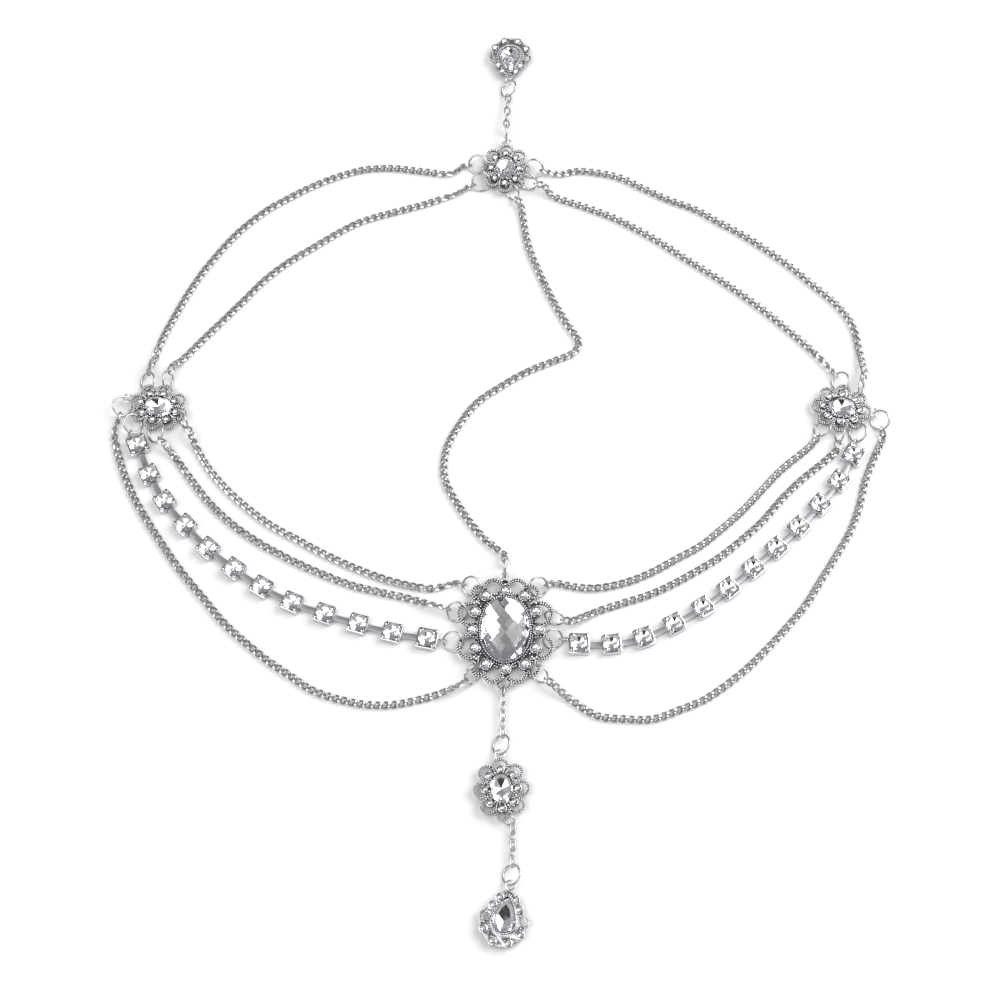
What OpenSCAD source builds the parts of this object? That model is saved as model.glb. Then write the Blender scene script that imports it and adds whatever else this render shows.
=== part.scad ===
// Draping headdress of curb chains, claw-cup chains and pierced stone medallions, laid out flat.
// Millimetres, +Z up, +Y to the drop at the back of the head, the origin on the floor under the middle.

/* [Main stones] */
// Length of the oval centre stone
centre_stone_l = 18; // [17.6:0.1:18]
// Width of the oval centre stone
centre_stone_w = 13; // [12.6:0.1:13]
// Length of the oval stone in each flower
flower_stone_l = 8; // [7.6:0.1:8]
// Width of the oval stone in each flower
flower_stone_w = 6; // [5.6:0.1:6]
// Length of the pear stone in each drop
pear_stone_l = 9; // [8.6:0.1:9]
// Width of the pear stone in each drop
pear_stone_w = 6; // [5.6:0.1:6]

/* [Small stones] */
// Diameter of the round stones about the centre stone
centre_accent_d = 2.5; // [2.3:0.1:2.6]
// Diameter of the round stones in flowers and drops
accent_d = 1.5; // [1.3:0.1:1.5]
// Diameter of the round stones in the claw cups
cup_stone_d = 4.7; // [4.6:0.05:4.7]

/* [Castings] */
// Thickness of the pierced lobes and petals
lobe_t = 0.6; // [0.5:0.05:0.6]
// Top of the bezel wall above the floor
bezel_top = 2.9; // [2.7:0.1:3]
// Thickness of the bezel wall round the centre stone
bezel_t = 0.6; // [0.5:0.05:0.7]
// Thickness of the bezel wall in flowers and drops
small_bezel_t = 0.35; // [0.3:0.05:0.35]

/* [Chains and rings] */
// Outside diameter of the jump rings
ring_d = 6; // [5.95:0.05:6]
// Wire of the jump rings
ring_wire = 0.6; // [0.55:0.05:0.6]
// Width of the long curb chains as they lie
chain_w = 2.2; // [1.8:0.1:2.3]
// Thickness of the long curb chains as they lie
chain_t = 1.5; // [1.3:0.1:1.6]

/* [Claw cups] */
// Side of the square cups
cup_side = 5.2; // [5.1:0.1:5.3]
// Side of the cup at each end of a cup chain
end_cup_side = 5.6; // [5.5:0.1:5.7]
// Width of the flat bars between the cups
bar_w = 1.6; // [1.4:0.1:1.6]

/* [Hidden] */
$fn = 48;

gap = 0.13;              // clearance of loose pieces
ring_r = (ring_d - ring_wire) / 2;
cup_floor = 0.9;         // closed back of each bezel
lobe_z = 1.65;           // underside of the pierced lobes
seat_bottom = 1.3;
seat_floor = 1.7;
seat_top = 2.6;
seat_wall = 0.2;
bail_r = 1.2;            // centre line of the wire in a bail loop
bail_wire = 0.5;
eye_r = 0.85;            // centre line of the eye that ends a chain
eye_wire = 0.5;
eye_slack = 0.15;        // how far the eye's middle stands off the wire it hangs on
small_ring_r = 1.75;
small_ring_wire = 0.5;
chain_z = 0.9;           // middle of a chain that lies on the floor
gather_l = 1.2;          // length over which a chain narrows to its eye
link_half_l = 1.56;      // centre line of a short link
link_half_w = 0.9;
link_wire = 0.5;
link_reach = 0.75;       // from the middle of an end link to the wire it goes round
foot_reach = 0.57;       // the same where it goes round the band under the centre
cup_wall_top = 2.2;
cup_base_t = 0.5;
cup_bore = 4.5;          // narrower than the stone, whose girdle stands over the wall
cup_corner_r = 0.6;
claw_in = 2.55;          // claws, measured out along the cup's diagonals
claw_out = 0.58;         // share of the cup's side
claw_tip = 2.1;
claw_w = 0.8;
claw_t = 0.35;
claw_top = 3.3;
bar_z = 1.1;
bar_t = 0.4;
bar_pivot = 2.4;         // from a cup's middle to where its bar swings
bar_inside = 1.4;
bar_head_l = 0.45;
bar_head_extra = 0.6;    // how much wider the caught head is than the bar
metal = "silver";
crystal = "lightcyan";

// Places of the castings: x, y, turn
CENTRE = [1.3, -54.5, 0];
LEFT = [-96.5, 12.5, 72];
RIGHT = [96.4, 12.2, -99];
BACK = [1.6, 92.1, -2];
FRONT = [0.3, -98.4, 3];
FRONT_DROP = [0.8, -132.8, -10.5];
BACK_DROP = [3.2, 132.8, 177];

// Lobes round the centre, one quarter: x, y, outer radius
LOBE_ROWS = [[3.2, 12.2, 2.8], [6.9, 10.7, 2.4], [9.4, 4.7, 3.6]];
lobe_band = 0.9;
// Small stones round the centre, one quarter: x, y
CENTRE_ACCENT_ROWS = [[0, 11.1], [5.2, 9.8], [8.2, 5.2], [9, 0]];
centre_web = [8.3, 10.7];
centre_bail = [0, 15.3];
centre_neck = [0, 13.5, 0.9];   // bead between the two top lobes: x, y, radius
centre_foot = [-0.4, -14.85];
centre_foot_r = 2.05;
foot_band = 0.7;

// Petals of a flower stand on an oval of these half axes
petal_oval = [5.2, 6.2];
petal_r = 2.2;
petal_band = 0.65;
petal_seat_inset = 1;
flower_web = [4.6, 5.5];
flower_bail = [0, 9.35];

// Small stones of a drop, right half: x, y
DROP_ACCENT_ROWS = [[2.05, -5.3], [4.75, -2.7], [3.4, 3.65], [2.05, 5.85]];
drop_rim = [5.9, 8.2, 6.5, 0.45];   // half width, reach to the point, reach to the round end, pinch
DROP_WINDOW = [4.75, 0.6, 1.1];     // opening beside the stone: x, y, radius
drop_window_band = 0.65;
drop_bail = [0, 9.4];

// Shapes drawn on the floor plane
function both_ways(rows) = [
  for (row = rows) for (sx = row.x == 0 ? [1] : [-1, 1]) for (sy = row.y == 0 ? [1] : [-1, 1])
    [row.x * sx, row.y * sy, row[2]]
];
function left_right(rows) = [
  for (row = rows) for (sx = row.x == 0 ? [1] : [-1, 1]) [row.x * sx, row.y, row[2]]
];
function oval(rx, ry, n = 48) = [for (i = [0 : n - 1]) [rx * cos(360 * i / n), ry * sin(360 * i / n)]];
function tear(rx, up, down, pinch, n = 40) = [
  for (i = [0 : n - 1]) let (a = 360 * i / n, s = sin(a))
    s > 0 ? [rx * cos(a) * (1 - pinch * s), up * s] : [rx * cos(a), down * s]
];
function petal(i) = [petal_oval.x * cos(90 + 45 * i), petal_oval.y * sin(90 + 45 * i)];
function petal_seat(i) = petal(i) * (1 - petal_seat_inset / norm(petal(i)));

LOBES = both_ways(LOBE_ROWS);
CENTRE_ACCENTS = both_ways(CENTRE_ACCENT_ROWS);
FLOWER_ACCENTS = [for (i = [0 : 7]) petal_seat(i)];
DROP_ACCENTS = left_right(DROP_ACCENT_ROWS);
pear_down = pear_stone_w / 2;
pear_up = pear_stone_l - pear_down;
pear_pinch = 0.4;

// A point of a casting, in the headdress
function placed(place, p) = [
  place.x + p.x * cos(place[2]) - p.y * sin(place[2]),
  place.y + p.x * sin(place[2]) + p.y * cos(place[2])
];

// Jump rings as centre, heading, roll, radius, wire: the heading runs from what the ring hooks to its far side,
// the roll lifts one flank, and the ring stands on the floor
function hooked(hook, heading, reach, roll, radius = ring_r, wire = ring_wire) = [
  [hook.x + reach * cos(heading), hook.y + reach * sin(heading), radius * abs(sin(roll)) + wire / 2],
  heading, roll, radius, wire
];
function ring_out(ring, angle) = let (h = ring[1], r = ring[2])
  [cos(h), sin(h), 0] * cos(angle) + [-sin(h) * cos(r), cos(h) * cos(r), sin(r)] * sin(angle);
function ring_at(ring, angle) = ring[0] + ring[3] * ring_out(ring, angle);

// Columns of the ring tables: what is hooked, heading, reach, roll
CENTRE_RINGS = [
  for (row = [
    [[-6.9, 10.7], 138, 2.9, -38],
    [[6.9, 10.7], 41, 2.8, 38],
    [[-9.4, 4.7], 171, 3.6, -38],
    [[-9.4, -4.7], 162, 4.7, -38],
    [[9.4, -4.7], 32, 4, 38],
    [[9.4, 4.7], -20, 4.1, 72],
    [[-6.9, -10.7], -130, 2.9, -62],
    [[6.9, -10.7], -40, 2.8, 60],
    [centre_bail, 90, 2.45, 90]
  ]) hooked(placed(CENTRE, row[0]), row[1], row[2], row[3])
];
LEFT_RINGS = [
  for (row = [
    [petal(7), 100, 3.3, -39],
    [petal(6), 78, 3.3, 72],
    [petal(1), -116, 3.4, -39],
    [petal(2), -66, 3.4, 39],
    [petal(4), -60, 3.3, 78],
    [flower_bail, -119, 2.9, -38]
  ]) hooked(placed(LEFT, row[0]), row[1], row[2], row[3])
];
RIGHT_RINGS = [
  for (row = [
    [petal(2), 100, 3.3, -39],
    [petal(1), 74, 3.3, 71],
    [petal(7), -86, 3.4, 39],
    [petal(6), -96, 3.3, 72],
    [petal(5), -106, 3.4, 39],
    [flower_bail, -60, 2.7, 38]
  ]) hooked(placed(RIGHT, row[0]), row[1], row[2], row[3])
];
BACK_RINGS = [
  for (row = [
    [petal(2), 158, 3.3, -39],
    [petal(3), 188, 3.4, -39],
    [petal(6), 2, 3.3, 39],
    [petal(5), -14, 3.3, 70],
    [flower_bail, 90, 2.45, 90],
    [petal(4), -48, 3.3, 70]
  ]) hooked(placed(BACK, row[0]), row[1], row[2], row[3])
];
BACK_DROP_RING = hooked(placed(BACK_DROP, drop_bail), -92, 2.7, 38);
FLOWER_RING = hooked(placed(FRONT, flower_bail), 82, 2.7, -38);
FLOWER_LINK = hooked(placed(FRONT, petal(4)), -48, 2.5, 60, small_ring_r, small_ring_wire);
FRONT_DROP_RING = hooked(placed(FRONT_DROP, drop_bail), 84, 2.7, -38);

// Routes of the long chains between the rings they end on, x and y on the floor
BACK_OUTER_LEFT = [[-15, 91], [-24, 92], [-32, 93], [-40.5, 92.5], [-48.5, 90], [-56, 86.5], [-63.5, 82],
  [-70, 77.5], [-78, 69.5], [-85.5, 59], [-90, 51], [-93.5, 43.5], [-97, 35], [-99, 28]];
BACK_INNER_LEFT = [[-13, 84], [-22, 80.5], [-30, 78], [-38, 75.5], [-44.5, 72.5], [-55.5, 65], [-62.5, 60],
  [-69, 54], [-74, 48], [-80, 41], [-86, 34], [-91, 28]];
BACK_OUTER_RIGHT = [[18.5, 91], [24.5, 92], [35, 90], [42.5, 86], [50, 82], [58, 78.5], [65, 74], [72, 69.5],
  [78.5, 64.5], [85, 59], [91, 53], [97, 47], [101.5, 40], [103, 31]];
BACK_INNER_RIGHT = [[16, 83], [25, 79.5], [33, 76], [40, 72], [47.5, 67], [54, 62], [61, 57], [67.5, 52],
  [74, 46.5], [80, 41], [86, 35], [90.5, 30]];
CROWN = [[7, 74], [8.5, 65.5], [11.5, 57], [15, 48.5], [19, 40.5], [22.5, 34.5], [21, 30.5], [14.5, 27.5],
  [7, 24], [0, 19.5], [-6.5, 14.5], [-11.5, 7.5], [-15, 0], [-15.5, -8.5], [-12, -16.5], [-5.5, -26]];
INNER_LEFT = [[-85, 0], [-81, -6.5], [-75.5, -13], [-69.5, -18.5], [-63, -23.5], [-56, -27.5], [-49, -31.5],
  [-42, -35], [-35, -38], [-27.5, -40.5], [-19, -42]];
MIDDLE_LEFT = [[-91, -2.5], [-86, -9.5], [-81, -16], [-75, -22], [-68.5, -27], [-62, -31], [-54.5, -35],
  [-48, -38], [-40.5, -41], [-33, -43], [-24.5, -45]];
SWAG_LEFT = [[-108.5, 4.5], [-106, -4.5], [-102.5, -13], [-98, -21], [-90, -33], [-85, -39.5], [-79.5, -46],
  [-74.5, -52], [-68.5, -57.5], [-62.5, -62.5], [-56, -67], [-50, -71], [-43, -73.5], [-35.5, -75],
  [-28, -75], [-19, -73]];
INNER_RIGHT = [[85, -1], [78.5, -6.5], [72.5, -13], [67, -19], [61, -24.5], [55, -29.5], [48, -33.5],
  [41, -37.5], [33.5, -40.5], [24.5, -42]];
MIDDLE_RIGHT = [[90, -4.5], [84, -9.5], [78, -15.5], [72.5, -22], [66.5, -27.5], [60.5, -32.5], [53.5, -37],
  [46.5, -41], [40, -44], [32.5, -46.5], [25.5, -49]];
SWAG_RIGHT = [[106, 0], [102, -9], [99.5, -17.5], [96.5, -25], [92, -32.5], [87.5, -39.5], [83, -46.5],
  [78, -52.5], [72.5, -58.5], [67, -64], [61, -69], [54.5, -73.5], [47.5, -76.5], [40.5, -79],
  [33, -79], [25.5, -78], [18.5, -73.5]];

// Middles of the claw cups
LEFT_CUPS = [[-101.5, 0.8], [-97.6, -8.3], [-92.8, -16.4], [-86.7, -23.6], [-80, -30.5], [-72.6, -36.5],
  [-64.8, -41.8], [-56.4, -46.3], [-47.4, -49.6], [-38.3, -52.5], [-29.1, -55], [-19.7, -56.8]];
RIGHT_CUPS = [[21.2, -58.2], [29.9, -58.3], [38.6, -56.4], [46.9, -52.5], [54.8, -47.8], [62, -42.3],
  [69, -36.3], [75.7, -30.4], [82.2, -24.2], [88.4, -17.4], [94.2, -10.2], [98.8, -2.2]];

// Faces are wound clockwise as seen from outside
module skin(rings, closed = false) {
  n = len(rings);
  k = len(rings[0]);
  last = closed ? n - 1 : n - 2;
  sides = [
    for (i = [0 : last]) for (j = [0 : k - 1])
      let (a = i * k + j, b = ((i + 1) % n) * k + j, c = ((i + 1) % n) * k + (j + 1) % k, d = i * k + (j + 1) % k)
        each [[a, b, c], [a, c, d]]
  ];
  ends = closed ? [] : [[for (j = [0 : k - 1]) j], [for (j = [k - 1 : -1 : 0]) (n - 1) * k + j]];
  polyhedron([for (ring = rings) each ring], concat(sides, ends));
}

// A cut stone: rows of height and share of the outline, from its back up to its table
module cut_stone(outline, rows) {
  n = len(outline);
  sides = [
    for (r = [0 : len(rows) - 2]) for (i = [0 : n - 1])
      [r * n + i, (r + 1) * n + i, (r + 1) * n + (i + 1) % n, r * n + (i + 1) % n]
  ];
  polyhedron(
    [for (row = rows) for (p = outline) [p.x * row[1], p.y * row[1], row[0]]],
    concat([[for (i = [0 : n - 1]) i]], sides, [[for (i = [n - 1 : -1 : 0]) (len(rows) - 1) * n + i]])
  );
}

module at(place) {
  translate([place.x, place.y, 0]) rotate([0, 0, place[2]]) children();
}

// Round stones with a table and eight facets
module small_stones(seats, d) {
  color(crystal) for (seat = seats)
    translate([seat.x, seat.y, 0])
      cut_stone(oval(d / 2, d / 2, 8), [[seat_floor + gap, 0.35], [2.5, 1], [2.65, 1], [3.1, 0.55]]);
}

// The loop of wire that a ring hangs on
module bail(middle) {
  translate([middle.x, middle.y, lobe_z + lobe_t / 2])
    rotate_extrude() translate([bail_r, 0]) circle(d = bail_wire, $fn = 24);
}

// The pierced casting that all medallions share
module casting(stone, bezel, web, lobes, band, seats, seat_d, windows = []) {
  seat_r = seat_d / 2 + gap + seat_wall;
  difference() {
    union() {
      linear_extrude(bezel_top) polygon(bezel);
      translate([0, 0, lobe_z]) linear_extrude(lobe_t) {
        difference() {
          polygon(web);
          for (window = windows) translate([window.x, window.y]) circle(window[2]);
        }
        for (lobe = lobes) translate([lobe.x, lobe.y]) difference() {
          circle(lobe[2]);
          circle(lobe[2] - band);
        }
      }
      for (seat = seats) translate([seat.x, seat.y, seat_bottom]) cylinder(h = seat_top - seat_bottom, r = seat_r);
      children();
    }
    translate([0, 0, cup_floor]) linear_extrude(bezel_top) polygon(stone);
    for (seat = seats) translate([seat.x, seat.y, seat_floor]) cylinder(h = bezel_top, r = seat_d / 2 + gap);
  }
}

// Centre medallion
module centre_setting() {
  color(metal) at(CENTRE)
    casting(
      oval(centre_stone_w / 2 + gap, centre_stone_l / 2 + gap),
      oval(centre_stone_w / 2 + gap + bezel_t, centre_stone_l / 2 + gap + bezel_t),
      oval(centre_web.x, centre_web.y), LOBES, lobe_band, CENTRE_ACCENTS, centre_accent_d
    ) {
      bail(centre_bail);
      translate([centre_neck.x, centre_neck.y, lobe_z]) cylinder(h = lobe_t, r = centre_neck[2]);
      translate([centre_foot.x, centre_foot.y, lobe_z]) linear_extrude(lobe_t) difference() {
        circle(centre_foot_r);
        circle(centre_foot_r - foot_band);
      }
    }
}
module centre_stone() {
  color(crystal) at(CENTRE)
    cut_stone(
      oval(centre_stone_w / 2, centre_stone_l / 2, 20),
      [[cup_floor + gap, 0.94], [2.2, 1], [2.5, 1], [4.1, 0.84], [5.2, 0.56], [5.7, 0.25]]
    );
}
module centre_accent_stones() {
  at(CENTRE) small_stones(CENTRE_ACCENTS, centre_accent_d);
}

// Flower medallions
module flower_setting(place) {
  color(metal) at(place)
    casting(
      oval(flower_stone_w / 2 + gap, flower_stone_l / 2 + gap),
      oval(flower_stone_w / 2 + gap + small_bezel_t, flower_stone_l / 2 + gap + small_bezel_t),
      oval(flower_web.x, flower_web.y),
      [for (i = [0 : 7]) [petal(i).x, petal(i).y, petal_r]], petal_band, FLOWER_ACCENTS, accent_d
    ) bail(flower_bail);
}
module flower_stone(place) {
  color(crystal) at(place)
    cut_stone(
      oval(flower_stone_w / 2, flower_stone_l / 2, 16),
      [[cup_floor + gap, 0.2], [2.5, 1], [2.7, 1], [3.7, 0.75], [4.1, 0.55]]
    );
}
module left_flower_setting() { flower_setting(LEFT); }
module left_flower_stone() { flower_stone(LEFT); }
module left_flower_accents() { at(LEFT) small_stones(FLOWER_ACCENTS, accent_d); }
module right_flower_setting() { flower_setting(RIGHT); }
module right_flower_stone() { flower_stone(RIGHT); }
module right_flower_accents() { at(RIGHT) small_stones(FLOWER_ACCENTS, accent_d); }
module back_flower_setting() { flower_setting(BACK); }
module back_flower_stone() { flower_stone(BACK); }
module back_flower_accents() { at(BACK) small_stones(FLOWER_ACCENTS, accent_d); }
module front_flower_setting() { flower_setting(FRONT); }
module front_flower_stone() { flower_stone(FRONT); }
module front_flower_accents() { at(FRONT) small_stones(FLOWER_ACCENTS, accent_d); }

// Pear-shaped drops
module drop_setting(place) {
  color(metal) at(place)
    casting(
      tear(pear_stone_w / 2 + gap, pear_up + 2 * gap, pear_down + gap, pear_pinch),
      tear(
        pear_stone_w / 2 + gap + small_bezel_t, pear_up + 2 * gap + 1.4 * small_bezel_t,
        pear_down + gap + small_bezel_t, pear_pinch
      ),
      tear(drop_rim.x, drop_rim.y, drop_rim[2], drop_rim[3]),
      left_right([DROP_WINDOW + [0, 0, drop_window_band]]), drop_window_band,
      DROP_ACCENTS, accent_d, left_right([DROP_WINDOW])
    ) bail(drop_bail);
}
module drop_stone(place) {
  color(crystal) at(place)
    cut_stone(
      tear(pear_stone_w / 2, pear_up, pear_down, pear_pinch, 16),
      [[cup_floor + gap, 0.2], [2.5, 1], [2.7, 1], [3.7, 0.75], [4.1, 0.55]]
    );
}
module front_drop_setting() { drop_setting(FRONT_DROP); }
module front_drop_stone() { drop_stone(FRONT_DROP); }
module front_drop_accents() { at(FRONT_DROP) small_stones(DROP_ACCENTS, accent_d); }
module back_drop_setting() { drop_setting(BACK_DROP); }
module back_drop_stone() { drop_stone(BACK_DROP); }
module back_drop_accents() { at(BACK_DROP) small_stones(DROP_ACCENTS, accent_d); }

// Jump rings
module jump_ring(ring) {
  color(metal) translate(ring[0]) rotate([0, 0, ring[1]]) rotate([ring[2], 0, 0])
    rotate_extrude() translate([ring[3], 0]) circle(d = ring[4], $fn = 24);
}
module centre_rings() { for (ring = CENTRE_RINGS) jump_ring(ring); }
module left_rings() { for (ring = LEFT_RINGS) jump_ring(ring); }
module right_rings() { for (ring = RIGHT_RINGS) jump_ring(ring); }
module back_rings() { for (ring = BACK_RINGS) jump_ring(ring); }
module back_drop_ring() { jump_ring(BACK_DROP_RING); }
module flower_ring() { jump_ring(FLOWER_RING); }
module flower_link() { jump_ring(FLOWER_LINK); }
module front_drop_ring() { jump_ring(FRONT_DROP_RING); }

// Small ovals of wire, each turned about a quarter from the last, between two wires that the end links go round
function link_ring(t) = let (
    middle = [link_half_l * cos(t), link_half_w * sin(t), 0],
    side = [link_half_w * cos(t), link_half_l * sin(t), 0] / norm([link_half_w * cos(t), link_half_l * sin(t)])
  ) [for (j = [0 : 5]) middle + (side * cos(60 * j) - [0, 0, sin(60 * j)]) * link_wire / 2];

module link() {
  skin([for (i = [0 : 11]) link_ring(30 * i)], closed = true);
}

module short_chain(from, to, from_reach, to_reach, count, roll, turn = 90) {
  run = to - from;
  length = norm(run);
  pitch = (length - from_reach - to_reach) / (count - 1);
  color(metal) translate(from) rotate([0, -asin(run.z / length), atan2(run.y, run.x)])
    for (i = [0 : count - 1])
      translate([from_reach + pitch * i, 0, 0]) rotate([roll + turn * i, 0, 0]) link();
}

module back_drop_chain() {
  short_chain(ring_at(BACK_DROP_RING, 0), ring_at(BACK_RINGS[4], 0), link_reach, link_reach, 5, 154);
}
module flower_chain() {
  foot = placed(CENTRE, centre_foot + [0, -centre_foot_r + foot_band / 2]);
  short_chain([foot.x, foot.y, lobe_z + lobe_t / 2], ring_at(FLOWER_RING, 0), foot_reach, link_reach, 6, 75, 86);
}
module front_drop_chain() {
  short_chain(ring_at(FLOWER_LINK, -20), ring_at(FRONT_DROP_RING, 0), link_reach, link_reach, 5, 142);
}

// Long chains, each a flat tube as wide as the links, gathered to an eye round the ring at either end
function between(a, b, c, d, t) =
  0.5 * (2 * b + (c - a) * t + (2 * a - 5 * b + 4 * c - d) * t * t + (3 * b - a - 3 * c + d) * t * t * t);
function smooth(points, steps) = let (n = len(points)) [
  for (i = [0 : n - 2]) for (s = [0 : steps - 1])
    between(points[max(i - 1, 0)], points[i], points[i + 1], points[min(i + 2, n - 1)], s / steps),
  points[n - 1]
];
function unit(v) = v / norm(v);
function tube_end(ring, angle) = ring_at(ring, angle) + ring_out(ring, angle) * (eye_slack + eye_r);
function section(middle, way, w, t) = let (side = unit(cross([0, 0, 1], way)), up = cross(way, side)) [
  for (j = [0 : 7])
    middle + (side * w * cos(45 * j + 22.5) + up * t * sin(45 * j + 22.5)) / 2 / cos(22.5)
];
function gathered(i, last) = let (k = min(i, last - i)) k == 0 ? 0.4 : k == 1 ? 0.75 : 1;

module eye(ring, angle) {
  translate(ring[0]) rotate([0, 0, ring[1]]) rotate([ring[2], 0, 0]) rotate([0, 0, angle])
    translate([ring[3] + eye_slack, 0, 0]) rotate([90, 0, 0])
      rotate_extrude() translate([eye_r, 0]) circle(d = eye_wire, $fn = 24);
}

module long_chain(from, from_angle, route, to, to_angle) {
  floor_route = [for (p = route) [p.x, p.y, chain_z]];
  start = tube_end(from, from_angle);
  stop = tube_end(to, to_angle);
  line = concat([start], smooth(concat(
    [start + unit(floor_route[0] - start) * gather_l],
    floor_route,
    [stop + unit(floor_route[len(route) - 1] - stop) * gather_l]
  ), 2), [stop]);
  last = len(line) - 1;
  color(metal) {
    skin([
      for (i = [0 : last])
        let (way = unit(line[min(i + 1, last)] - line[max(i - 1, 0)]), share = gathered(i, last))
          section(line[i], way, chain_w * share, chain_t * share)
    ]);
    eye(from, from_angle);
    eye(to, to_angle);
  }
}

module back_outer_chain_left() { long_chain(BACK_RINGS[0], 25, BACK_OUTER_LEFT, LEFT_RINGS[0], -20); }
module back_inner_chain_left() { long_chain(BACK_RINGS[1], 15, BACK_INNER_LEFT, LEFT_RINGS[1], 0); }
module back_outer_chain_right() { long_chain(BACK_RINGS[2], -15, BACK_OUTER_RIGHT, RIGHT_RINGS[1], 0); }
module back_inner_chain_right() { long_chain(BACK_RINGS[3], 0, BACK_INNER_RIGHT, RIGHT_RINGS[0], 20); }
module crown_chain() { long_chain(BACK_RINGS[5], -20, CROWN, CENTRE_RINGS[8], -20); }
module inner_chain_left() { long_chain(LEFT_RINGS[4], 0, INNER_LEFT, CENTRE_RINGS[0], 25); }
module middle_chain_left() { long_chain(LEFT_RINGS[3], 15, MIDDLE_LEFT, CENTRE_RINGS[2], -10); }
module swag_chain_left() { long_chain(LEFT_RINGS[5], 20, SWAG_LEFT, CENTRE_RINGS[6], -15); }
module inner_chain_right() { long_chain(RIGHT_RINGS[4], -20, INNER_RIGHT, CENTRE_RINGS[1], -25); }
module middle_chain_right() { long_chain(RIGHT_RINGS[3], -20, MIDDLE_RIGHT, CENTRE_RINGS[5], 8); }
module swag_chain_right() { long_chain(RIGHT_RINGS[5], -25, SWAG_RIGHT, CENTRE_RINGS[7], 0); }

// Claw-cup chains: square cups on flat bars whose heads are caught inside the cups
function cup_heading(cups, i) = let (way = cups[min(i + 1, len(cups) - 1)] - cups[max(i - 1, 0)]) atan2(way.y, way.x);
function bar_end(cups, i, side) = cups[i] + side * bar_pivot * [cos(cup_heading(cups, i)), sin(cup_heading(cups, i))];

module rounded_square(side, r) {
  square([side, side - 2 * r], center = true);
  square([side - 2 * r, side], center = true);
  for (x = [-1, 1]) for (y = [-1, 1]) translate([x, y] * (side / 2 - r)) circle(r);
}

module claw_cup(side, slots) {
  difference() {
    linear_extrude(cup_wall_top) rounded_square(side, cup_corner_r);
    translate([0, 0, cup_base_t]) cylinder(h = cup_wall_top, d = cup_bore);
    for (way = slots) translate([way * cup_side / 2, 0, bar_z]) cube([2, bar_w + 4 * gap, bar_t + 2 * gap], center = true);
  }
  for (k = [0 : 3]) rotate([0, 0, 45 + 90 * k]) {
    translate([claw_in, -claw_w / 2, cup_wall_top - 0.3]) cube([side * claw_out - claw_in, claw_w, claw_top - cup_wall_top + 0.3]);
    translate([claw_tip, -claw_w / 2, claw_top - claw_t]) cube([claw_in - claw_tip + 0.2, claw_w, claw_t]);
  }
}

module bar(a, b) {
  length = norm(b - a);
  translate([a.x, a.y, bar_z]) rotate([0, 0, atan2(b.y - a.y, b.x - a.x)]) translate([length / 2, 0, 0]) {
    cube([length + 2 * bar_inside, bar_w, bar_t], center = true);
    for (side = [-1, 1]) translate([side * (length / 2 + bar_inside - bar_head_l / 2), 0, 0])
      cube([bar_head_l, bar_w + bar_head_extra, bar_t], center = true);
  }
}

module tongue(cup, ring, angle) {
  tip = tube_end(ring, angle);
  way = [tip.x, tip.y] - cup;
  translate([cup.x, cup.y, tip.z]) rotate([0, 0, atan2(way.y, way.x)])
    translate([end_cup_side / 2 - 0.3, -0.4, -0.3]) cube([norm(way) - end_cup_side / 2 + 0.35, 0.8, 0.6]);
  eye(ring, angle);
}

module cup_chain(cups, first_ring, first_angle, last_ring, last_angle) {
  last = len(cups) - 1;
  color(metal) {
    for (i = [1 : last - 1]) translate(cups[i]) rotate([0, 0, cup_heading(cups, i)]) claw_cup(cup_side, [-1, 1]);
    translate(cups[0]) rotate([0, 0, cup_heading(cups, 0)]) claw_cup(end_cup_side, [1]);
    translate(cups[last]) rotate([0, 0, cup_heading(cups, last)]) claw_cup(end_cup_side, [-1]);
    for (i = [0 : last - 1]) bar(bar_end(cups, i, 1), bar_end(cups, i + 1, -1));
    tongue(cups[0], first_ring, first_angle);
    tongue(cups[last], last_ring, last_angle);
  }
}
module cup_stones(cups) {
  color(crystal) for (i = [0 : len(cups) - 1]) translate(cups[i]) rotate([0, 0, cup_heading(cups, i)])
    cut_stone(oval(cup_stone_d / 2, cup_stone_d / 2, 8), [[1.1, 0.15], [2.45, 1], [2.62, 1], [3.3, 0.55]]);
}
module left_cup_chain() { cup_chain(LEFT_CUPS, LEFT_RINGS[2], 15, CENTRE_RINGS[3], 10); }
module left_cup_stones() { cup_stones(LEFT_CUPS); }
module right_cup_chain() { cup_chain(RIGHT_CUPS, CENTRE_RINGS[4], -28, RIGHT_RINGS[2], -20); }
module right_cup_stones() { cup_stones(RIGHT_CUPS); }

centre_setting();
centre_stone();
centre_accent_stones();
left_flower_setting();
left_flower_stone();
left_flower_accents();
right_flower_setting();
right_flower_stone();
right_flower_accents();
back_flower_setting();
back_flower_stone();
back_flower_accents();
front_flower_setting();
front_flower_stone();
front_flower_accents();
front_drop_setting();
front_drop_stone();
front_drop_accents();
back_drop_setting();
back_drop_stone();
back_drop_accents();
left_cup_chain();
left_cup_stones();
right_cup_chain();
right_cup_stones();
back_outer_chain_left();
back_inner_chain_left();
back_outer_chain_right();
back_inner_chain_right();
crown_chain();
inner_chain_left();
middle_chain_left();
swag_chain_left();
inner_chain_right();
middle_chain_right();
swag_chain_right();
back_drop_chain();
flower_chain();
front_drop_chain();
centre_rings();
left_rings();
right_rings();
back_rings();
back_drop_ring();
flower_ring();
flower_link();
front_drop_ring();
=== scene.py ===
import math
import random
from bisect import bisect

import bmesh
import bpy
import numpy as np
from mathutils import Matrix, Vector
from mathutils.kdtree import KDTree


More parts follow.
